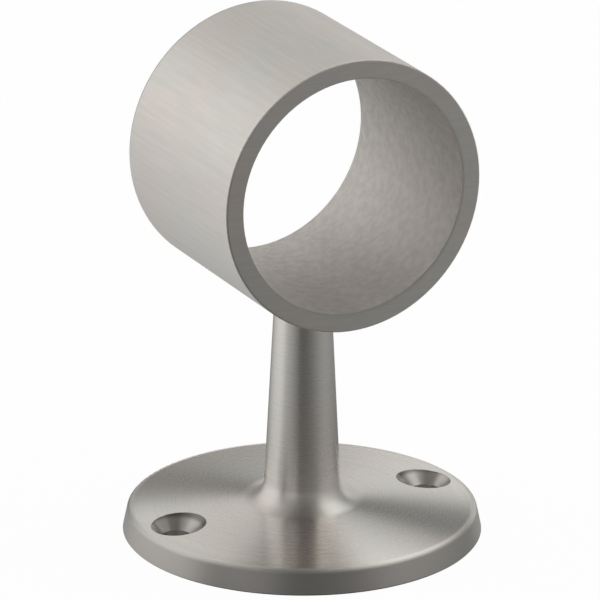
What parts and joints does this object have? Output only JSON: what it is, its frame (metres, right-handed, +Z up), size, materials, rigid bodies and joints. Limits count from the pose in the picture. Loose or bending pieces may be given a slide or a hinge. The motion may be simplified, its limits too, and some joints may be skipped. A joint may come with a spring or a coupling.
{
  "type": "railing center post",
  "caption": "Railing center post cast in one piece: round domed base with countersunk screw holes, slim tapered stem and an open ring that a rail tube passes through.",
  "frame": {"origin": "centre of the base's underside", "axes": "+Z up the stem, +Y along the rail, X through the screw holes"},
  "size_m": [0.058, 0.058, 0.0843],
  "materials": {
    "brushed_steel": "brushed outside, bore left as cast"
  },
  "bodies": {
    "root": {"center_post": "brushed_steel"}
  },
  "joints": []
}
